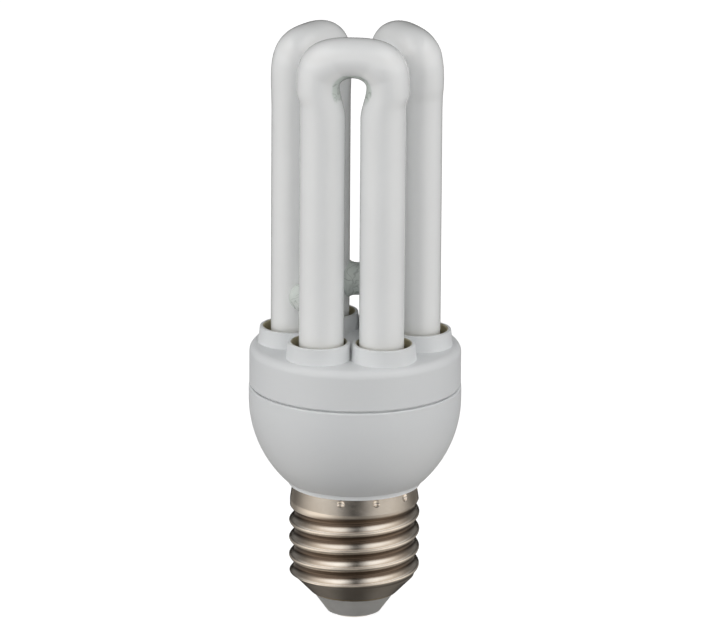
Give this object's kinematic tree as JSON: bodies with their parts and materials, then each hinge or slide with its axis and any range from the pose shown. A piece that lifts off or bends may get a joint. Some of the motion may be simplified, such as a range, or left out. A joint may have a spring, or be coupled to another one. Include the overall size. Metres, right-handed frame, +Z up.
{
  "type": "energy saving bulb",
  "caption": "Compact fluorescent lamp with U-bent white glass tubes standing in collars on a white plastic ballast housing with a nickel-plated screw cap.",
  "frame": {"origin": "middle of the centre contact's bottom face", "axes": "+Z up the lamp's axis from the cap to the tubes; one U bend faces -Y"},
  "size_m": [0.0426, 0.0426, 0.122],
  "materials": {
    "coated_glass": "gloss",
    "white_plastic": "satin",
    "cement": "matte",
    "nickel_plate": "polished, nickel on brass",
    "pale_insulator": "matte",
    "board_laminate": "matte",
    "ferrite": "matte",
    "copper_winding": "enamelled",
    "black_plastic": "matte",
    "capacitor_sleeve": "gloss",
    "film_resin": "gloss",
    "blue_resin": "gloss",
    "resistor_body": "satin",
    "diode_glass": "gloss",
    "heat_sleeve": "matte",
    "tinned_wire": "tinned",
    "wire_insulation": "satin"
  },
  "bodies": {
    "root": {"discharge_tube": "coated_glass", "tube_cover": "white_plastic", "tube_cement": "cement", "lower_housing": "white_plastic", "screw_shell": "nickel_plate", "cap_insulator": "pale_insulator", "centre_contact": "nickel_plate", "circuit_board": "board_laminate", "wrap_pins": "tinned_wire", "electrode_leads": "tinned_wire", "choke_core_upper": "ferrite", "choke_core_lower": "ferrite", "choke_bobbin": "black_plastic", "choke_winding": "copper_winding", "feedback_ring": "ferrite", "feedback_windings": "copper_winding", "smoothing_capacitor": "capacitor_sleeve", "film_capacitor": "film_resin", "drum_core": "ferrite", "drum_coil": "copper_winding", "transistor_front": "black_plastic", "transistor_rear": "black_plastic", "rectifier_diodes": "black_plastic", "resistors": "resistor_body", "trigger_diode": "diode_glass", "disc_capacitor": "blue_resin", "fusible_resistor": "heat_sleeve", "live_lead": "wire_insulation", "neutral_lead": "wire_insulation"}
  },
  "joints": []
}
